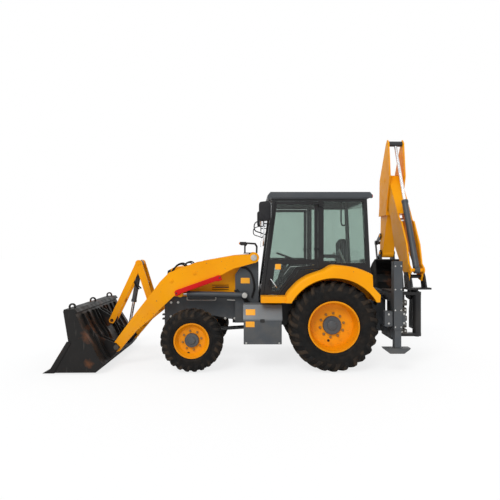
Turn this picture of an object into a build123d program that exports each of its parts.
from build123d import *
import math
import os

# Side-shift backhoe loader.  Millimetres.  Front of the machine towards -X, its left side
# towards -Y, Z up from the ground.  The origin is on the ground under the middle of the machine.

# ---------------------------------------------------------------- driving sizes
FIT = 0.3                      # gap between a pin or boss and what turns on it
SLIP = 6                       # gap beside plates that swing past each other
WEAR = 0.5                     # gap at the wear pads of a sliding leg

# wheels
REAR_X, REAR_R, REAR_WIDE, REAR_RIM_R = 1427, 711, 430, 395
FRONT_X, FRONT_R, FRONT_WIDE, FRONT_RIM_R = -792, 495, 320, 270
TRACK_OUT = 1120               # outer face of every tyre, from the middle of the machine
KINGPIN_Y = TRACK_OUT - 420    # steering axis, from the middle
REAR_LUG, FRONT_LUG = 34, 22   # lug heights
REAR_LUGS, FRONT_LUGS = 26, 24  # lugs on each half of a tread

# chassis
RAIL_IN, RAIL_OUT = 300, 380   # side rails, from the middle
FRONT_END, RAIL_TOP, RAIL_LOW = -1330, 1125, 640
RAIL_END, RAIL_CAB = 2330, 1060         # rear end, and top under the cab
TOW_X, TOW_R, TOW_LOW, TOW_HIGH = -1385, 16, 680, 780   # towing pin at the front

# cab
CAB_HALF, CAB_WALL = 800, 60
CAB_FLOOR, CAB_EAVES, ROOF_TOP = 1100, 2735, 2845
POST_A_LOW, POST_A_TOP = 275, 484      # front of the front post, low and high
POST_B_X, POST_B_WIDE = 1226, 82       # door post
POST_C_TOP, POST_C_LOW = 2006, 2085    # back of the rear post, high and low
DOOR_GAP = 7
DOOR_HINGE = (1240, CAB_HALF + 30)
HINGE_LEVELS = (1910, 2640)
FENDER_R = 765
FENDER_IN, FENDER_OUT = TRACK_OUT - REAR_WIDE - 35, TRACK_OUT
FENDER_WALL = 18

# loader: side-view pins (x, z) with the arms down
ARM_PIVOT, ARM_TIP = (182, 1784), (-2070, 320)
LIFT_BASE, LIFT_EYE = (32, 1166), (-1030, 1190)
TILT_FOOT, TILT_APEX = (-1615, 1020), (-1825, 1676)
TILT_LOW, LINK_PIN = (-2030, 500), (-2301, 675)
ARM_IN, ARM_OUT = 560, 660
LIFT_R, TILT_R = 45, 42
BUCKET_HALF, BUCKET_SHEET, BUCKET_SIDE = 1150, 16, 20

# rear frame and stabilisers
STAB_X0, STAB_X1 = 2340, 2470          # casing, front and back
STAB_OUT, STAB_WIDE = 1150, 150
STAB_IN = STAB_OUT - STAB_WIDE
STAB_LOW, STAB_TOP = 680, 1737
PAD_LOW = 310
FRAME_X0, FRAME_X1 = 2340, 2440
UPPER_RAIL, LOWER_RAIL = (1100, 1220), (540, 660)

# backhoe, parked on the left of the frame with its boom up and swung across the machine
SLEW_X, SLEW_Y = 2845, 310 - STAB_IN
SLEW_TURN = 92.2               # plan angle of the boom from straight back
# side-view pins (u, z): u runs out from the slew axis along the boom
BOOM_FOOT, BOOM_END = (100, 1475), (1190, 3210)
BOOM_RAM_BASE, BOOM_RAM_EYE = (250, 1160), (720, 2430)
DIP_RAM_BASE, DIP_RAM_EYE = (0, 1580), (1050, 3870)
DIP_END = (1520, 1850)
TIP_RAM_BASE, TIP_FOOT = (1585, 3000), (1539.6, 2186.7)
TIP_JOINT, TIP_PIN = (1755.4, 2053.3), (1649.8, 1728.1)
BOOM_HALF, DIP_HALF, HOE_HALF = 120, 110, 262
PLATE = 24                     # backhoe side plates
RAM_R, ROD_R = 52, 26
PIN_R, EYE_R = 30, 55


# ---------------------------------------------------------------- shapes
def plate(points, low, high):
    """Flat plate with an outline in (x, z), between two places along Y."""
    return extrude(Plane.XZ.offset(-high) * Polygon(*points, align=None), high - low, dir=(0, -1, 0))


def cut_out(sketch, low, high):
    """A drawn outline in (x, z) extruded between two places along Y."""
    return extrude(Plane.XZ.offset(-high) * sketch, high - low, dir=(0, -1, 0))


def disc(centre, radius, low, high):
    """Round bar along Y about the point (x, z)."""
    return extrude(Plane.XZ.offset(-high) * (Pos(*centre) * Circle(radius)), high - low)


def block(x0, x1, y0, y1, z0, z1):
    return Pos((x0 + x1) / 2, (y0 + y1) / 2, (z0 + z1) / 2) * Box(x1 - x0, y1 - y0, z1 - z0)


def bar(start, end, radius):
    """Round bar between two points in space."""
    start, end = Vector(*start), Vector(*end)
    run = end - start
    return extrude(Plane(origin=start, z_dir=run) * Circle(radius), run.length)


def strap(start, end, r0, r1, low, high):
    """Plate from one pin to another, round at both ends, in the (x, z) plane."""
    (x0, z0), (x1, z1) = start, end
    length = math.hypot(x1 - x0, z1 - z0)
    nx, nz = -(z1 - z0) / length, (x1 - x0) / length
    sides = [(x0 + nx * r0, z0 + nz * r0), (x1 + nx * r1, z1 + nz * r1),
             (x1 - nx * r1, z1 - nz * r1), (x0 - nx * r0, z0 - nz * r0)]
    return plate(sides, low, high) + disc(start, r0, low, high) + disc(end, r1, low, high)


def along(start, end, distance):
    """Point at a distance from start towards end, in (x, z)."""
    (x0, z0), (x1, z1) = start, end
    part = distance / math.hypot(x1 - x0, z1 - z0)
    return (x0 + (x1 - x0) * part, z0 + (z1 - z0) * part)


def span(start, end):
    return math.hypot(end[0] - start[0], end[1] - start[1])


def both(shape):
    """The shape and its mirror image on the other side of the machine."""
    return [shape, mirror(shape, about=Plane.XZ)]


def pair(low, high, make):
    """One shape for each side of a joint: make(low, high) and make(-high, -low)."""
    return [make(low, high), make(-high, -low)]


def fuse(*shapes):
    """One body from shapes that touch or overlap."""
    flat = [s for shape in shapes for s in (shape if isinstance(shape, list) else [shape])]
    whole = flat[0]
    for shape in flat[1:]:
        whole = whole + shape
    return whole


def gather(*shapes):
    """Separate solids kept in one node."""
    flat = [s for shape in shapes for s in (shape if isinstance(shape, list) else [shape])]
    return Compound([solid for shape in flat for solid in shape.solids()])


def save(name, shape):
    os.makedirs("parts", exist_ok=True)
    export_step(shape, f"parts/{name}.step")


def ram_barrel(base, eye, length, radius, middle=0, eye_half=28):
    """Barrel of a cylinder with its eye, bored for the rod; lies in the (x, z) plane."""
    root, end = along(base, eye, EYE_R * 0.7), along(base, eye, length)
    tube = bar((root[0], middle, root[1]), (end[0], middle, end[1]), radius)
    gland = along(base, eye, length - 40)
    tube += bar((gland[0], middle, gland[1]), (end[0], middle, end[1]), radius + 6)
    mouth = along(base, eye, length + 1)
    floor = along(base, eye, EYE_R + 15)
    tube += disc(base, EYE_R, middle - eye_half, middle + eye_half)
    tube -= bar((floor[0], middle, floor[1]), (mouth[0], middle, mouth[1]), ROD_R + FIT)
    return tube


def ram_rod(base, eye, inside, middle=0, eye_half=28, eye_r=EYE_R):
    """Rod that starts `inside` mm from the base pin and ends in an eye; the eye is bored open."""
    start, end = along(base, eye, inside), along(eye, base, eye_r * 0.7)
    rod = bar((start[0], middle, start[1]), (end[0], middle, end[1]), ROD_R)
    rod += disc(eye, eye_r, middle - eye_half, middle + eye_half)
    return rod - disc(eye, PIN_R, middle - eye_half - 1, middle + eye_half + 1)


# ---------------------------------------------------------------- wheels
def ring_face(radius, y, sides):
    """Many-sided outline about the axle at the place y, its flats at the radius."""
    return Plane.XZ.offset(-y) * RegularPolygon(radius, sides, major_radius=False)


def drum(stations, sides):
    """Solid through many-sided outlines: a list of (y, radius) along the axle."""
    return loft([ring_face(radius, y, sides) for y, radius in stations], ruled=True)


def lug(radius, wide, height, pitch):
    """One tread lug on top of a tyre: a slanted block from the middle to the shoulder, its shoulder
    sloped off. It runs towards +Y and leans towards +X."""
    half, base = wide / 2, radius - height - 60
    lean, root, foot = pitch * 0.6, pitch * 0.27, pitch * 0.36
    plan = [(-lean / 2 - root / 2, 6), (-lean / 2 + root / 2, 6), (lean / 2 + foot / 2, half - 2), (lean / 2 - foot / 2, half - 2)]
    top = math.sqrt(radius ** 2 - (lean / 2 + foot / 2) ** 2)
    body = Pos(0, 0, base) * extrude(Plane.XY * Polygon(*plan, align=None), top - base, dir=(0, 0, 1))
    shoulder = [(0, base - 1), (0, top + 1), (half - 46, top + 1), (half + 1, top - 44), (half + 1, base - 1)]
    return body & extrude(Plane.YZ.offset(-300) * Polygon(*shoulder, align=None), 600, dir=(1, 0, 0))


def tyre(x, z, radius, wide, rim_r, height, count):
    """Tyre of the left side: a many-sided carcass with two staggered rows of slanted lugs."""
    half, tread = wide / 2, radius - height
    body = drum([(-half, tread - 8), (half, tread - 8)], count)
    body -= drum([(-half - 1, rim_r + FIT), (half + 1, rim_r + FIT)], count)
    for side in (-1, 1):
        ends = sorted([(side * (half + 1), rim_r + 62), (side * (half - 53), rim_r + 12)])
        body -= drum(ends, count)
    block_shape = lug(radius, wide, height, 2 * math.pi * radius / count)
    far = mirror(block_shape, about=Plane.XZ)
    step = 360 / count
    rows = [Rot(0, (k + phase) * step, 0) * shape for k in range(count) for shape, phase in ((block_shape, 0.5), (far, 0))]
    return Pos(x, half - TRACK_OUT, z) * body.fuse(*rows)


def wheel_disc(wide, rim_r, dish, hub_r, cap, bore_r):
    """Pressed wheel: rim barrel with flanges, dished disc, hub and cap, turned about Y.
    The outside is towards -Y."""
    half = wide / 2
    flange = rim_r + 8
    outline = [(half - 40, rim_r), (half - 40, flange), (half - 52, flange), (half - 52, rim_r),
               (-half + 52, rim_r), (-half + 52, flange), (-half + 40, flange), (-half + 40, rim_r - 14),
               (-half + 60, rim_r - 16), (dish - half, rim_r - 60), (dish - half, hub_r),
               (dish - half - cap, hub_r), (dish - half - cap, 0), (dish - half + 30, 0),
               (dish - half + 30, bore_r), (dish - half + 14, bore_r), (dish - half + 14, rim_r - 56),
               (half - 60, rim_r - 16)]
    return revolve(Plane.XY * Polygon(*[(r, y) for y, r in outline], align=None), Axis.Y)


# (name, x, axle height, tyre width, rim radius, dish depth, hub radius, cap, bore, lug height, lugs)
WHEELS = [
    ("rear", REAR_X, REAR_R, REAR_WIDE, REAR_RIM_R, 250, 145, 30, 100, REAR_LUG, REAR_LUGS),
    ("front", FRONT_X, FRONT_R, FRONT_WIDE, FRONT_RIM_R, 120, 110, 25, 70, FRONT_LUG, FRONT_LUGS),
]


def make_wheels():
    for name, x, axle, wide, rim_r, dish, hub_r, cap, bore, lug_high, lugs in WHEELS:
        rubber = tyre(x, axle, axle, wide, rim_r, lug_high, lugs)
        middle = TRACK_OUT - wide / 2
        steel = Pos(x, -middle, axle) * wheel_disc(wide, rim_r, dish, hub_r, cap, bore)
        for side, tyre_part, rim_part in (("left", rubber, steel),
                                          ("right", mirror(rubber, about=Plane.XZ),
                                           mirror(steel, about=Plane.XZ))):
            save(f"{name}_tyre_{side}", tyre_part)
            save(f"{name}_wheel_{side}", rim_part)


# ---------------------------------------------------------------- chassis and axles
BEAM_OUT = KINGPIN_Y - 60      # where the front beam ends in a fork for the knuckle
KNUCKLE_R, KNUCKLE_LOW, KNUCKLE_TOP = 46, 400, 590


def make_chassis():
    rail = [(FRONT_END, RAIL_LOW), (FRONT_END, RAIL_TOP), (200, RAIL_TOP), (250, RAIL_CAB), (RAIL_END, RAIL_CAB),
            (RAIL_END, 540), (2050, 540), (1800, 860), (1060, 860), (900, 640), (60, 640), (0, 700),
            (-480, 795), (-560, 795), (-640, RAIL_LOW)]
    rails = both(plate(rail, -RAIL_OUT, -RAIL_IN))
    cross = [block(x, x + 60, -RAIL_IN, RAIL_IN, z0, z1) for x, z0, z1 in
             ((FRONT_END, RAIL_LOW, RAIL_TOP), (-640, 640, 700), (840, 880, 1060), (2050, 700, 1060))]
    jaws = [block(TOW_X - 45, FRONT_END, -50, 50, z, z + 25) for z in (TOW_LOW, TOW_HIGH - 25)]
    tow_bore = bar((TOW_X, 0, TOW_LOW - 1), (TOW_X, 0, TOW_HIGH + 1), TOW_R)
    save("chassis_frame", fuse(rails, cross, jaws) - tow_bore)
    engine = fuse(block(-1000, -180, -230, 230, 720, 1380), block(-180, 60, -260, 260, 660, 1120))
    gearbox = fuse(block(60, 620, -200, 200, 480, 1000), bar((620, 0, 760), (700, 0, 760), 60))
    radiator = block(-1180, -1060, -RAIL_IN + FIT, RAIL_IN - FIT, 720, 1440)
    save("power_unit", gather(engine + gearbox, radiator))


def make_front_axle():
    beam = block(FRONT_X - 65, FRONT_X + 65, -BEAM_OUT + 40, BEAM_OUT - 40, 420, 560)
    forks = []
    for low, high in ((KNUCKLE_LOW - 32, KNUCKLE_LOW - FIT), (KNUCKLE_TOP + FIT, KNUCKLE_TOP + 32)):
        for side in (-1, 1):
            inner, outer = sorted((side * (BEAM_OUT - 60), side * (KINGPIN_Y + 45)))
            forks.append(block(FRONT_X - 55, FRONT_X + 55, inner, outer, low, high))
    ends = both(block(FRONT_X - 40, FRONT_X + 40, -BEAM_OUT, -BEAM_OUT + 60, KNUCKLE_LOW - 32, KNUCKLE_TOP + 32))
    carrier = block(FRONT_X - 120, FRONT_X + 120, -RAIL_IN + FIT, RAIL_IN - FIT, 560, 715)
    pivot = bar((FRONT_X - 120, 0, 500), (FRONT_X + 120, 0, 500), 95)
    save("front_axle", fuse(beam, forks, ends, carrier, pivot))


def knuckle():
    """Steering knuckle of the left wheel: boss on the kingpin, stub axle and steering arm."""
    boss = Pos(FRONT_X, -KINGPIN_Y, (KNUCKLE_LOW + KNUCKLE_TOP) / 2) * Cylinder(
        KNUCKLE_R, KNUCKLE_TOP - KNUCKLE_LOW)
    seat = TRACK_OUT - 120 - 30
    stub = bar((FRONT_X, -KINGPIN_Y, FRONT_R), (FRONT_X, -seat + FIT, FRONT_R), 60)
    arm = block(FRONT_X + 30, FRONT_X + 190, -KINGPIN_Y - 12, -KINGPIN_Y + 12, 440, 470)
    return boss + stub + arm


def make_knuckles():
    left = knuckle()
    save("front_knuckle_left", left)
    save("front_knuckle_right", mirror(left, about=Plane.XZ))


def make_rear_axle():
    tube = bar((REAR_X, -560, REAR_R), (REAR_X, 560, REAR_R), 105)
    housing = Pos(REAR_X, 0, REAR_R) * Sphere(225)
    seats = both(block(REAR_X - 150, REAR_X + 150, -RAIL_OUT, -RAIL_IN, REAR_R, 860 - FIT))
    hub_seat = TRACK_OUT - 250 - 30
    hubs = both(bar((REAR_X, -560, REAR_R), (REAR_X, -hub_seat + FIT, REAR_R), 150))
    nose = bar((REAR_X - 300, 0, REAR_R), (REAR_X - 150, 0, REAR_R), 75)
    save("rear_axle", fuse(tube, housing, nose, seats, hubs))


def make_shafts():
    """Propeller shafts: a tube between two flanges, to each axle."""
    shafts = []
    for x0, z0, x1, z1 in ((FRONT_X + 120 + FIT, 500, 60, 545), (700 + FIT, 760, REAR_X - 300 - FIT, REAR_R)):
        flanges = [bar((x0, 0, z0), (x0 + 30, 0, z0), 52), bar((x1 - 30, 0, z1), (x1, 0, z1), 52)]
        shafts.append(fuse(flanges, bar((x0 + 15, 0, z0), (x1 - 15, 0, z1), 32)))
    save("drive_shafts", gather(shafts))


# ---------------------------------------------------------------- body
def make_hood():
    half, skin = 425, 14
    outline = [(FRONT_END + 10, RAIL_TOP + FIT), (FRONT_END + 60, 1560), (FRONT_END + 170, 1620),
               (60, 1680), (120, RAIL_TOP + FIT)]
    inner = [(FRONT_END + 120, RAIL_TOP - 10), (FRONT_END + 120, 1540), (FRONT_END + 190, 1600),
             (70, 1660), (140, RAIL_TOP - 10)]
    shell = plate(outline, -half, half) - plate(inner, -half + skin, half - skin)
    hood = shell - block(FRONT_END - 5, FRONT_END + 110 + FIT, -500, 500, 900, 1700)
    louvres = [block(-520, -240, low, high, z, z + 14) for z in (1240, 1275, 1310)
               for low, high in ((-half - 1, -half + skin + 1), (half - skin - 1, half + 1))]
    for louvre in louvres:
        hood -= louvre
    hoods = [block(-524, -236, low, high, z + 12, z + 18) for z in (1240, 1275, 1310)
             for low, high in ((-half - 10, -half + 2), (half - 2, half + 10))]
    save("hood", fuse(hood, hoods))
    cavity = block(FRONT_END + 60, FRONT_END + 120, -half + 60, half - 60, 1180, 1500)
    mask = (plate(outline, -half, half) & block(FRONT_END, FRONT_END + 110, -500, 500, 900, 1700)) - cavity
    opening = block(FRONT_END - 10, FRONT_END + 70, -half + 80, half - 80, 1200, 1480)
    slats = [block(FRONT_END + 62, FRONT_END + 80, -half + 54, half - 54, z, z + 14) for z in range(1225, 1480, 45)]
    save("front_grille", fuse(mask - opening, slats))


def make_towers():
    """Loader towers: fabricated posts on the chassis rails that carry the arm and lift-ram pins."""
    low = [(-127, 700), (-127, 1500), (110, 1850), (240, 1850), (262, 1700), (262, 920), (230, 700)]
    tower = plate(low, -ARM_IN + 14, -440)
    foot = block(-100, 230, -440, -RAIL_OUT, 760, 1100)
    top = fuse(tower, foot)
    save("loader_towers", gather(both(top)))
    pins = []
    for centre, radius in ((ARM_PIVOT, 36), (LIFT_BASE, PIN_R)):
        pin = disc(centre, radius, -ARM_OUT - FIT, -ARM_IN + 14) + disc(
            centre, radius + 14, -ARM_OUT - 14, -ARM_OUT - FIT)
        pins.append(pin)
    save("loader_pins", gather([both(pin) for pin in pins][0], [both(pin) for pin in pins][1]))


SILL = [(290, 1085), (290, 1184), (690, 1184), (690, 1085)]
FENDER = [(680, 1085), (686, 1200), (1385, 1667), (2017, 1525), (2025, 1338), (2143, 1209), (2135, 1100),
          (2079, 1100)]
DOOR = [(345, 1195), (537, 2690), (POST_B_X - 12, 2690), (POST_B_X - 12, 1600), (900, 1590), (585, 1195)]


def fender():
    """Rear fender: a deck over the wheel with an inner wall beside the cab."""
    deck = plate(FENDER, -FENDER_OUT, -FENDER_IN)
    deck -= disc((REAR_X, REAR_R), FENDER_R, -FENDER_OUT - 1, -FENDER_IN - FENDER_WALL)
    deck -= cut_out(grown(FENDER, -FENDER_WALL), -FENDER_OUT + FENDER_WALL, -FENDER_IN - FENDER_WALL)
    lip = disc((REAR_X, REAR_R), FENDER_R + 16, -FENDER_OUT + 2, -FENDER_OUT + 40)
    lip -= disc((REAR_X, REAR_R), FENDER_R, -FENDER_OUT - 1, -FENDER_OUT + 60)
    return deck + (lip & plate(FENDER, -FENDER_OUT, -FENDER_IN))


def make_fenders():
    step = plate(SILL, -FENDER_OUT + 40, -CAB_HALF - FIT)
    save("fenders", gather(both(fender() + step)))


def hinge_posts():
    """Fixed halves of the left door's two hinges, on the door post."""
    hinge_x, hinge_y = DOOR_HINGE
    halves = []
    for z in HINGE_LEVELS:
        halves.append(block(hinge_x, hinge_x + 60, -hinge_y - 8, -CAB_HALF, z - 29, z - 1 + FIT))
        halves.append(Pos(hinge_x, -hinge_y, z - 15 + FIT / 2) * Cylinder(16, 28 + FIT))
    return halves


def grown(points, gap):
    return offset(Polygon(*points, align=None), gap, kind=Kind.INTERSECTION)


def make_cab():
    outline = [(POST_A_LOW, CAB_FLOOR), (POST_A_TOP, CAB_EAVES), (POST_C_TOP, CAB_EAVES),
               (POST_C_LOW, CAB_FLOOR)]
    side = plate(outline, -CAB_HALF, -CAB_HALF + CAB_WALL)
    side -= cut_out(grown(DOOR, DOOR_GAP), -CAB_HALF - 1, -CAB_HALF + CAB_WALL + 1)
    quarter = [(POST_B_X + POST_B_WIDE, 1720), (POST_B_X + POST_B_WIDE, 2690), (1950, 2690), (1992, 1700),
               (1500, 1700)]
    side -= plate(quarter, -CAB_HALF - 1, -CAB_HALF + CAB_WALL + 1)
    side -= plate(FENDER, -FENDER_OUT, -FENDER_IN)
    side = fuse(side, hinge_posts())
    pane = cut_out(grown(quarter, -FIT), -CAB_HALF + 26, -CAB_HALF + 34)
    inside = CAB_HALF - CAB_WALL - FIT

    def sloped(low, top, thick):
        return [(low[0], low[1]), (top[0], top[1]), (top[0] + thick, top[1]), (low[0] + thick, low[1])]
    front = plate(sloped((POST_A_LOW, CAB_FLOOR), (POST_A_TOP, CAB_EAVES), CAB_WALL), -inside, inside)
    screen_low, screen_top = (POST_A_LOW + 22, 1270), (POST_A_TOP - 5, 2690)
    hole = plate(sloped((screen_low[0] - 100, 1270), (screen_top[0] - 100, 2690), 260), -inside + 50, inside - 50)
    front -= hole
    glass_front = plate(sloped((screen_low[0] + 22, 1270 + FIT), (screen_top[0] + 22, 2690 - FIT), 8),
                        -inside + 50 + FIT, inside - 50 - FIT)
    back_low, back_top = (POST_C_LOW, CAB_FLOOR), (POST_C_TOP, CAB_EAVES)
    rear = plate(sloped(back_low, back_top, -CAB_WALL), -inside, inside)
    rear -= plate([(1850, 1500), (1850, 2690), (2150, 2690), (2150, 1500)], -inside + 50, inside - 50)
    for deck in both(plate(FENDER, -FENDER_OUT, -FENDER_IN)):
        rear -= deck
    save("cab_walls", gather(both(side), front, rear))
    slope = (POST_C_LOW - POST_C_TOP) / (CAB_EAVES - CAB_FLOOR)
    lean = [(POST_C_TOP + slope * (CAB_EAVES - z) - 34, z) for z in (1500 + FIT, 2690 - FIT)]
    glass_rear = plate(sloped(lean[0], lean[1], 8), -inside + 50 + FIT, inside - 50 - FIT)
    save("cab_glass", gather(both(pane), glass_front, glass_rear))
    floor = block(POST_A_LOW + CAB_WALL + 20, 2000, -inside, inside, RAIL_CAB + FIT, CAB_FLOOR + 20)
    for well in both(block(FENDER[0][0] - FIT, 2001, FENDER_IN - FIT, FENDER_OUT, RAIL_CAB, CAB_FLOOR + 30)):
        floor -= well
    save("cab_floor", floor)
    roof = [(402, 2740), (402, 2790), (450, ROOF_TOP), (2050, ROOF_TOP), (2080, 2810), (2080, 2760),
            (2010, CAB_EAVES + FIT), (484, CAB_EAVES + FIT)]
    shell = plate(roof, -CAB_HALF - 20, CAB_HALF + 20)
    shell -= plate([(540, 2700), (540, ROOF_TOP - 26), (1960, ROOF_TOP - 26), (1960, 2700)], -inside + 20, inside - 20)
    gutters = both(block(470, 2030, -CAB_HALF - 34, -CAB_HALF - 12, 2752, 2770))
    lamps = both(bar((2074, -CAB_HALF + 60, 2786), (2100, -CAB_HALF + 60, 2786), 34))
    save("cab_roof", fuse(shell, gutters, lamps))


def door():
    """Left door: a flat leaf with two windows cut, hung on two knuckles."""
    leaf = plate(DOOR, -CAB_HALF, -CAB_HALF + 40)
    upper = [(440, 1760), (555, 2640), (1160, 2640), (1160, 1760)]
    lower = [(470, 1250), (525, 1680), (1160, 1680), (1160, 1660), (870, 1640), (570, 1250)]
    for window in (upper, lower):
        leaf -= plate(window, -CAB_HALF - 1, -CAB_HALF + 41)
    hinge_x, hinge_y = DOOR_HINGE
    for z in HINGE_LEVELS:
        leaf += block(POST_B_X - 80, hinge_x, -hinge_y - 8, -CAB_HALF, z + 1, z + 29)
        leaf += Pos(hinge_x, -hinge_y, z + 15) * Cylinder(16, 28)
    handle = bar((430, -CAB_HALF - 40, 1330), (430, -CAB_HALF - 40, 1430), 10)
    for z in (1330, 1410):
        handle += block(420, 440, -CAB_HALF - 40, -CAB_HALF, z, z + 20)
    panes = [cut_out(grown(window, -FIT), -CAB_HALF + 16, -CAB_HALF + 24) for window in (upper, lower)]
    return leaf, handle, panes


def make_doors():
    leaf, handle, panes = door()
    save("door_left", leaf + handle)
    save("door_right", mirror(leaf + handle, about=Plane.XZ))
    save("door_glass_left", gather(panes))
    save("door_glass_right", gather([mirror(pane, about=Plane.XZ) for pane in panes]))


def make_interior():
    seat = fuse(block(1250, 1750, -250, 250, 1500, 1600), block(1700, 1800, -240, 240, 1600, 2150),
                block(1350, 1650, -180, 180, CAB_FLOOR + 20, 1500))
    save("seat", seat)
    column = bar((560, 0, CAB_FLOOR - 20), (760, 0, 1750), 45) - block(400, 700, -100, 100, 900, CAB_FLOOR + 20)
    ring = Pos(780, 0, 1790) * Rot(0, 20, 0) * Torus(190, 15)
    spokes = Pos(780, 0, 1790) * Rot(0, 20, 0) * Box(370, 30, 16)
    save("steering_column", fuse(column, bar((760, 0, 1750), (784, 0, 1800), 30), ring, spokes))


def make_side_box():
    outline = [(20, 424), (20, 1030), (60, 1030), (620, 865), (620, 424)]
    box = plate(outline, -1000, -560)
    box -= cut_out(grown(outline, -12), -988, -580)
    box -= block(100, 260, -581, -559, 520, 800)
    box += block(300, 560, -561, -RAIL_OUT - FIT, 660, 860)
    lid = plate([(12, 1036), (66, 1036), (628, 871), (628, 832), (12, 1000)], -1008, -560) - cut_out(grown(outline, -6), -996, -559)
    latch = block(200, 330, -1016, -1004, 770, 800)
    box = fuse(box, lid, latch, block(200, 330, -1009, -995, 740, 810))
    save("side_boxes", gather(both(box)))


# ---------------------------------------------------------------- loader
ARM_OUTLINE = [(143, 1838), (-187, 1815), (-751, 1713), (-1208, 1541), (-1364, 1385), (-1439, 1280),
               (-1761, 870), (-2120, 380), (-2030, 250), (-1879, 430), (-1735, 597), (-1521, 771),
               (-1318, 975), (-1129, 1155), (-832, 1319), (-359, 1493), (-156, 1603), (191, 1697)]
CROSS_TUBE = (-1905, 600)


def make_arms():
    arm = plate(ARM_OUTLINE, -ARM_OUT, -ARM_IN) + disc(ARM_PIVOT, 88, -ARM_OUT, -ARM_IN)
    arm += disc(ARM_TIP, 80, -ARM_OUT, -ARM_IN)
    arm -= disc(ARM_PIVOT, 36 + FIT, -ARM_OUT - 1, -ARM_IN + 1)
    arm -= disc(ARM_TIP, PIN_R + FIT, -ARM_OUT - 1, -ARM_IN + 1)
    ears = []
    for low, high in ((-ARM_OUT, -ARM_OUT + 18), (-ARM_IN - 18, -ARM_IN)):
        ears.append(strap(LIFT_EYE, (LIFT_EYE[0] - 60, LIFT_EYE[1] + 90), 55, 70, low, high))
    arm = fuse(arm, ears) - block(LIFT_EYE[0] - 80, LIFT_EYE[0] + 90, -ARM_OUT + 18, -ARM_IN - 18,
                                  LIFT_EYE[1] - 80, LIFT_EYE[1] + 62)
    tubes = [disc(CROSS_TUBE, 45, -ARM_IN, ARM_IN), disc((-1600, 900), 60, -ARM_IN, ARM_IN)]
    low_ears = pair(54, 74, lambda a, b: strap(CROSS_TUBE, TILT_LOW, 60, 52, a, b))
    foot_ears = pair(158, 180, lambda a, b: strap((-1600, 900), TILT_FOOT, 70, 50, a, b))
    whole = fuse(both(arm), tubes, low_ears, foot_ears)
    for side in (1, -1):
        low, high = sorted((side * 126, side * 181))
        whole -= disc(TILT_FOOT, PIN_R + FIT, low, high)
    save("loader_arms", whole)
    strut = bar((-1180, -ARM_OUT - 34, 1180), (-360, -ARM_OUT - 34, 1500), 26)
    posts = [bar((x, -ARM_OUT - 34, z), (x, -ARM_OUT - FIT, z), 14) for x, z in ((-1150, 1192), (-400, 1484))]
    save("safety_strut", fuse(strut, posts))


def make_lift_rams():
    closed = span(LIFT_BASE, LIFT_EYE)
    barrel = ram_barrel(LIFT_BASE, LIFT_EYE, closed - 110, LIFT_R, -610, 30)
    barrel -= disc(LIFT_BASE, PIN_R + FIT, -700, -500)
    rod = ram_rod(LIFT_BASE, LIFT_EYE, 90, -610, 25, 48)
    save("lift_barrels", gather(both(barrel)))
    save("lift_rods", gather(both(rod)))


def make_tilt_linkage():
    lever = pair(130, 152, lambda a, b: strap(TILT_FOOT, TILT_APEX, 55, 60, a, b))
    tie = disc(along(TILT_FOOT, TILT_APEX, 330), 34, -152, 152)
    pins = [disc(TILT_FOOT, PIN_R, 152 - 22, 184), disc(TILT_FOOT, PIN_R, -184, -130),
            disc(TILT_APEX, PIN_R, -158, 158)]
    save("loader_lever", fuse(lever, tie, pins))
    link = pair(100, 122, lambda a, b: strap(TILT_APEX, LINK_PIN, 58, 50, a, b))
    link = [part - disc(TILT_APEX, PIN_R + FIT, -200, 200) - disc(LINK_PIN, PIN_R + FIT, -200, 200)
            for part in link]
    ladder = disc(along(TILT_APEX, LINK_PIN, 700), 26, -122, 122)
    save("loader_link", fuse(link, ladder))
    barrel = ram_barrel(TILT_APEX, TILT_LOW, 695, TILT_R, 0, 36)
    barrel -= disc(TILT_APEX, PIN_R + FIT, -100, 100)
    save("tilt_barrel", barrel)
    save("tilt_rod", ram_rod(TILT_APEX, TILT_LOW, 512, 0, 46, 44))


BUCKET_SIDE_OUTLINE = [(-2760, 967), (-2602, 975), (-2566, 914), (-2460, 675), (-2344, 498), (-2244, 294),
                       (-2150, 140), (-2257, 20), (-3070, 16), (-2956, 56), (-2682, 498)]


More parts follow.
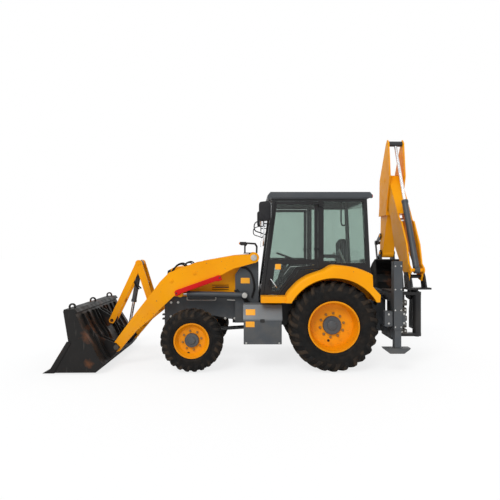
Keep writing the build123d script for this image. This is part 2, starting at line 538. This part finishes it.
def make_loader_bucket():
    skin = BUCKET_SHEET
    outer = [(-3070, 16), (-2257, 20), (-2150, 140), (-2244, 294), (-2344, 498), (-2460, 675), (-2566, 914),
             (-2602, 975), (-2760, 967)]
    inner = [(-2760, 967 - skin), (-2602 - 12, 975 - skin), (-2566 - skin, 906), (-2460 - skin, 668),
             (-2344 - skin, 490), (-2244 - skin - 2, 286), (-2150 - skin - 4, 144), (-2264, 20 + skin),
             (-2990, 16 + skin)]
    sheet = plate(outer + inner, -BUCKET_HALF, BUCKET_HALF)
    sides = both(plate(BUCKET_SIDE_OUTLINE, -BUCKET_HALF, -BUCKET_HALF + BUCKET_SIDE))
    ears = []
    for low, high in ((ARM_IN - 30, ARM_IN - 8), (ARM_OUT + 8, ARM_OUT + 30)):
        outline = [(-2352, 498), (-2252, 294), (-2158, 142), (ARM_TIP[0] + 10, ARM_TIP[1] - 62),
                   (ARM_TIP[0] + 60, ARM_TIP[1]), (ARM_TIP[0], ARM_TIP[1] + 62)]
        ears += pair(low, high, lambda a, b: plate(outline, a, b))
    centre = pair(70, 92, lambda a, b: plate([(-2574, 908), (-2468, 671), (-2398, 564),
                                              (LINK_PIN[0] + 52, LINK_PIN[1] - 30),
                                              (LINK_PIN[0] + 50, LINK_PIN[1] + 40)], a, b))
    pins = pair(ARM_IN - 30, ARM_OUT + 30, lambda a, b: disc(ARM_TIP, PIN_R, a, b))
    link_pin = disc(LINK_PIN, PIN_R, -94, 94)
    hooks = []
    for y in (-1000, 0, 1000):
        ring = Pos(-2670, y, 1018) * Rot(90, 0, 0) * (extrude(RegularPolygon(58, 10), 14, both=True) - extrude(
            RegularPolygon(32, 10), 16, both=True))
        hooks.append(ring)
    edge = plate([(-3080, 8), (-2900, 8), (-2880, 30), (-2880, 44), (-2960, 44)], -BUCKET_HALF, BUCKET_HALF)
    ribs = [plate([(-2570, 900), (-2465, 668), (-2350, 492), (-2250, 286), (-2166, 152), (-2150, 196), (-2206, 306),
                   (-2306, 514), (-2416, 688), (-2520, 900)], y - 8, y + 8) for y in (-900, -380, 380, 900)]
    bar_top = plate([(-2756, 962), (-2598, 970), (-2578, 930), (-2540, 948), (-2580, 1000), (-2752, 992)],
                    -BUCKET_HALF + 2, BUCKET_HALF - 2)
    cheeks = both(plate([(-3040, 20), (-2900, 20), (-2640, 480), (-2700, 500), (-2960, 70)], -BUCKET_HALF - 12, -BUCKET_HALF + 4))
    save("loader_bucket", fuse(sheet, sides, ears, centre, pins, link_pin, hooks, edge, ribs, bar_top, cheeks))


# ---------------------------------------------------------------- rear frame and stabilisers
def make_rear_frame():
    rails = [block(FRAME_X0, FRAME_X1, -STAB_IN, STAB_IN, low, high) for low, high in (UPPER_RAIL, LOWER_RAIL)]
    posts = [block(RAIL_END, FRAME_X1 - 20, y - 45, y + 45, LOWER_RAIL[1], UPPER_RAIL[0]) for y in (-340, 340)]
    casing = block(STAB_X0, STAB_X1, -STAB_OUT, -STAB_IN, STAB_LOW, STAB_TOP)
    casing -= block(STAB_X0 + 14, STAB_X1 - 14, -STAB_OUT + 14, -STAB_IN - 14, STAB_LOW - 1, STAB_TOP - 14)
    lug = block(STAB_X0, STAB_X1, -STAB_IN - 1, -STAB_IN, STAB_LOW, STAB_TOP)
    ties = block(STAB_X0, FRAME_X1, -STAB_IN, -STAB_IN + 40, LOWER_RAIL[0], UPPER_RAIL[1])
    save("rear_frame", fuse(rails, posts, both(casing), both(lug), both(ties)))


def stabiliser():
    """Left stabiliser leg: a square tube that slides in its casing, with a boat-shaped pad."""
    gap = 14 + WEAR
    leg = block(STAB_X0 + gap, STAB_X1 - gap, -STAB_OUT + gap, -STAB_IN - gap, PAD_LOW + 90, STAB_TOP - 120)
    pad = plate([(STAB_X0 - 155, PAD_LOW + 85), (STAB_X1 + 130, PAD_LOW + 85), (STAB_X1 + 110, PAD_LOW + 60),
                 (STAB_X1 + 30, PAD_LOW), (STAB_X0 - 60, PAD_LOW), (STAB_X0 - 140, PAD_LOW + 60)],
                -STAB_OUT, -STAB_IN)
    neck = block(STAB_X0 + 35, STAB_X1 - 35, -STAB_OUT + 35, -STAB_IN - 35, PAD_LOW + 80, PAD_LOW + 120)
    return leg + pad + neck


def make_stabilisers():
    left = stabiliser()
    save("stabiliser_left", left)
    save("stabiliser_right", mirror(left, about=Plane.XZ))


# ---------------------------------------------------------------- backhoe
def out(shape):
    """Turn a backhoe piece drawn along +X about the slew axis to where it is parked."""
    place = Pos(SLEW_X, SLEW_Y, 0) * Rot(0, 0, SLEW_TURN)
    if isinstance(shape, list):
        return [place * part for part in shape]
    return place * shape


EAR_R = 70
EAR_TOP, EAR_LOW = (1180, 1230), (510, 560)


def make_carriage():
    y0, y1 = SLEW_Y - 292, SLEW_Y + 292
    face = block(FRAME_X1 + FIT, FRAME_X1 + 60, y0, y1, LOWER_RAIL[0] - 40, UPPER_RAIL[1] + 40)
    hooks = [block(FRAME_X0 + 10, FRAME_X1 + 60, y0, y1, UPPER_RAIL[1] + FIT, UPPER_RAIL[1] + 40),
             block(FRAME_X0 + 10, FRAME_X1 + 60, y0, y1, LOWER_RAIL[0] - 40, LOWER_RAIL[0] - FIT)]
    ears = []
    for low, high in (EAR_TOP, EAR_LOW):
        ears.append(block(FRAME_X1 + 50, SLEW_X, SLEW_Y - 60, SLEW_Y + 60, low, high))
        ears.append(Pos(SLEW_X, SLEW_Y, (low + high) / 2) * Cylinder(EAR_R, high - low))
    web = block(FRAME_X1 + 50, FRAME_X1 + 200, SLEW_Y - 20, SLEW_Y + 20, EAR_LOW[1], EAR_TOP[0])
    bores = Pos(SLEW_X, SLEW_Y, 870) * Cylinder(42 + FIT, 800)
    save("backhoe_carriage", fuse(face, hooks, ears, web) - bores)


def make_kingpost():
    column = Pos(0, 0, (EAR_LOW[1] + EAR_TOP[0]) / 2) * Cylinder(68, EAR_TOP[0] - EAR_LOW[1] - 2 * FIT)
    pins = Pos(0, 0, 870) * Cylinder(42, 740)
    web = plate([(60, 620), (60, 1170), (80, 1170), (80, 1290), (180, 1290), (180, 1000), (200, 900), (200, 620)], -58, 58)
    web -= plate([(75, EAR_TOP[0] - 6), (75, 1240), (-10, 1240), (-10, EAR_TOP[0] - 6)], -80, 80)
    top = fuse(block(-110, 92, -202, 202, 1270, 1300), pair(BOOM_HALF + SLIP, 202, lambda a, b: block(90, 130, a, b, 1270, 1300)))
    ears = pair(BOOM_HALF + SLIP, BOOM_HALF + SLIP + 28, lambda a, b: plate(
        [(-60, 1290), (130, 1290), (175, 1475), (140, 1545), (60, 1545), (10, 1475)], a, b))
    ram_ears = pair(RAM_R + SLIP, RAM_R + SLIP + 22, lambda a, b: strap((150, 1160), BOOM_RAM_BASE, 70, 52, a, b))
    foot_pin = disc(BOOM_FOOT, PIN_R, -BOOM_HALF - SLIP - 30, BOOM_HALF + SLIP + 30)
    ram_pin = disc(BOOM_RAM_BASE, PIN_R, -RAM_R - SLIP - 26, RAM_R + SLIP + 26)
    slot = disc(BOOM_RAM_BASE, EYE_R + SLIP, -RAM_R - SLIP, RAM_R + SLIP)
    save("kingpost", out(fuse(column, pins, web, top, ears, ram_ears, foot_pin) - slot + ram_pin))


BOOM_FORK = [(60, 1400), (20, 1500), (60, 1720), (140, 2000), (395, 2400), (480, 2430), (600, 2600),
             (980, 2600), (900, 2400), (740, 2000), (185, 1430)]
BOOM_BOX = [(560, 2550), (950, 3100), (1090, 3290), (1250, 3320), (1320, 3220), (1300, 3080), (1000, 2550)]


def make_boom():
    forks = pair(BOOM_HALF - PLATE, BOOM_HALF, lambda a, b: plate(BOOM_FORK, a, b))
    box = plate(BOOM_BOX, -BOOM_HALF, BOOM_HALF)
    spacer = disc((150, 1720), 32, -BOOM_HALF, BOOM_HALF)
    eyes = pair(RAM_R + 2 * SLIP, RAM_R + 2 * SLIP + 24, lambda a, b: strap(BOOM_RAM_EYE, (790, 2590), 55, 80, a, b))
    base_ears = pair(BOOM_HALF - PLATE, BOOM_HALF, lambda a, b: strap(DIP_RAM_BASE, (90, 1640), 55, 60, a, b))
    base_pin = disc(DIP_RAM_BASE, PIN_R, -BOOM_HALF - 4, BOOM_HALF + 4)
    boom = fuse(forks, box, eyes, base_ears, base_pin)
    boom -= disc(BOOM_FOOT, PIN_R + FIT, -BOOM_HALF - 10, BOOM_HALF + 10)
    end_pin = disc(BOOM_END, PIN_R, -BOOM_HALF - SLIP - PLATE - 6, BOOM_HALF + SLIP + PLATE + 6)
    save("boom", out(boom + end_pin))


def make_boom_ram():
    whole = span(BOOM_RAM_BASE, BOOM_RAM_EYE)
    barrel = ram_barrel(BOOM_RAM_BASE, BOOM_RAM_EYE, 720, RAM_R, 0, 30)
    barrel -= disc(BOOM_RAM_BASE, PIN_R + FIT, -100, 100)
    save("boom_ram_barrel", out(barrel))
    save("boom_ram_rod", out(ram_rod(BOOM_RAM_BASE, BOOM_RAM_EYE, whole - 704, 0, 28, 50)))


DIP_FORK = [(985, 3880), (1050, 3945), (1120, 3880), (1500, 3250), (1520, 2750), (1560, 2560), (1115, 2560),
            (1080, 2750), (905, 3250)]
DIP_BOX = [(1120, 2640), (1545, 2640), (1605, 1870), (1440, 1850)]


def make_dipper():
    inner = BOOM_HALF + SLIP
    forks = pair(inner, inner + PLATE, lambda a, b: plate(DIP_FORK, a, b))
    box = plate(DIP_BOX, -DIP_HALF, DIP_HALF) + disc(DIP_END, 85, -DIP_HALF, DIP_HALF)
    collar = plate([(1120, 2640), (1545, 2640), (1560, 2560), (1120, 2560)], -inner, inner)
    ears = pair(52, 74, lambda a, b: strap((1450, 2930), TIP_RAM_BASE, 90, 50, a, b))
    crown = plate([(1400, 2640), (1380, 3160), (1410, 3160), (1430, 2640)], -inner, inner)
    dipper = fuse(forks, box, collar, ears, crown)
    dipper -= disc(BOOM_END, PIN_R + FIT, -inner - 60, inner + 60)
    pins = [disc(DIP_END, PIN_R, -150, 150), disc(TIP_FOOT, PIN_R, -142, 142),
            disc(TIP_RAM_BASE, PIN_R, -62, 62)]
    save("dipper", out(fuse(dipper, pins)))


def make_dipper_ram():
    whole = span(DIP_RAM_BASE, DIP_RAM_EYE)
    barrel = ram_barrel(DIP_RAM_BASE, DIP_RAM_EYE, 1310, RAM_R, 0, 40)
    barrel -= disc(DIP_RAM_BASE, PIN_R + FIT, -100, 100)
    save("dipper_ram_barrel", out(barrel))
    save("dipper_ram_rod", out(ram_rod(DIP_RAM_BASE, DIP_RAM_EYE, whole - 1290, 0, BOOM_HALF, 50)))


def make_tip_linkage():
    low = DIP_HALF + SLIP
    lever = pair(low, low + 20, lambda a, b: strap(TIP_FOOT, TIP_JOINT, 48, 45, a, b)
                 - disc(TIP_FOOT, PIN_R + FIT, a - 1, b + 1))
    tie = disc(TIP_JOINT, PIN_R, -low - 50, low + 50) - block(
        TIP_JOINT[0] - 60, TIP_JOINT[0] + 60, -40, 40, TIP_JOINT[1] - 60, TIP_JOINT[1] + 60)
    save("tip_lever", out(fuse(lever, tie)))
    far = low + 26
    link = pair(far, far + 20, lambda a, b: fuse(
        strap(TIP_JOINT, TIP_PIN, 26, 26, a, b), disc(TIP_JOINT, 45, a, b), disc(TIP_PIN, 45, a, b))
        - disc(TIP_JOINT, PIN_R + FIT, a - 1, b + 1))
    save("tip_link", out(gather(link)))
    whole = span(TIP_RAM_BASE, TIP_JOINT)
    barrel = ram_barrel(TIP_RAM_BASE, TIP_JOINT, 620, 44, 0, 30)
    barrel -= disc(TIP_RAM_BASE, PIN_R + FIT, -100, 100)
    save("tip_ram_barrel", out(barrel))
    save("tip_ram_rod", out(ram_rod(TIP_RAM_BASE, TIP_JOINT, 509, 0, 28, 46)))


HOE_SIDE = [(1445, 1735), (1640, 1640), (1760, 1540), (1822, 1420), (1779, 1261), (1638, 1145), (1427, 1092),
            (1295, 1120), (1355, 1397)]


def make_hoe_bucket():
    back = HOE_SIDE[:8]
    inward = [(-6, -16), (-11, -13), (-18, -7), (-18, 3), (-14, 12), (-8, 17), (1, 18), (8, 14)]
    inner = [(x + dx, z + dz) for (x, z), (dx, dz) in zip(back, inward)]
    sheet = plate(back + inner[::-1], -HOE_HALF, HOE_HALF)
    sides = pair(HOE_HALF - 16, HOE_HALF, lambda a, b: plate(HOE_SIDE, a, b))
    low = DIP_HALF + SLIP
    lugs = pair(low, low + 20, lambda a, b: fuse(
        disc(DIP_END, 60, a, b), disc(TIP_PIN, 46, a, b),
        plate([(1466, 1824), (1450, 1722), (1640, 1628), (1740, 1572), (1694, 1740), (1668, 1772), (1556, 1898)], a, b)))
    lugs = [lug - disc(DIP_END, PIN_R + FIT, -200, 200) for lug in lugs]
    teeth = [plate([(1330, 1108), (1440, 1074), (1445, 1094), (1310, 1128), (1160, 1118)], y - 22, y + 22)
             for y in (-235, -118, 0, 118, 235)]
    save("hoe_bucket", out(fuse(sheet, sides, lugs, teeth)))


def make_mirrors():
    """Door mirrors on a bent rod from the front posts."""
    foot = block(455, 515, -CAB_HALF - 14, -CAB_HALF - FIT, 2395, 2455)
    rod = bar((485, -CAB_HALF - 8, 2425), (400, -1000, 2320), 10)
    head = block(360, 410, -1075, -915, 2060, 2360)
    save("mirrors", gather(both(fuse(foot, rod, head))))


def make_lamps():
    """Turn lamps on bent rods above the loader arms, one on each tower."""
    y = -ARM_IN + 60
    path = [(30, 1856), (30, 1980), (70, 2030), (210, 2020), (240, 1970), (236, 1856)]
    rods = [bar((x0, y, z0), (x1, y, z1), 9) for (x0, z0), (x1, z1) in zip(path, path[1:])]
    knees = [Pos(x0, y, z0) * Sphere(9) for x0, z0 in path[1:-1]]
    head = block(-50, 60, y - 36, y + 36, 1996, 2046)
    base = block(10, 239, y - 24, y + 24, 1850, 1862)
    save("turn_lamps", gather(both(fuse(rods, knees, head, base))))


def main():
    make_wheels()
    make_chassis()
    make_front_axle()
    make_knuckles()
    make_rear_axle()
    make_shafts()
    make_hood()
    make_towers()
    make_fenders()
    make_cab()
    make_doors()
    make_interior()
    make_side_box()
    make_arms()
    make_lift_rams()
    make_tilt_linkage()
    make_loader_bucket()
    make_rear_frame()
    make_stabilisers()
    make_carriage()
    make_kingpost()
    make_boom()
    make_boom_ram()
    make_dipper()
    make_dipper_ram()
    make_tip_linkage()
    make_hoe_bucket()
    make_mirrors()
    make_lamps()


if __name__ == "__main__":
    main()
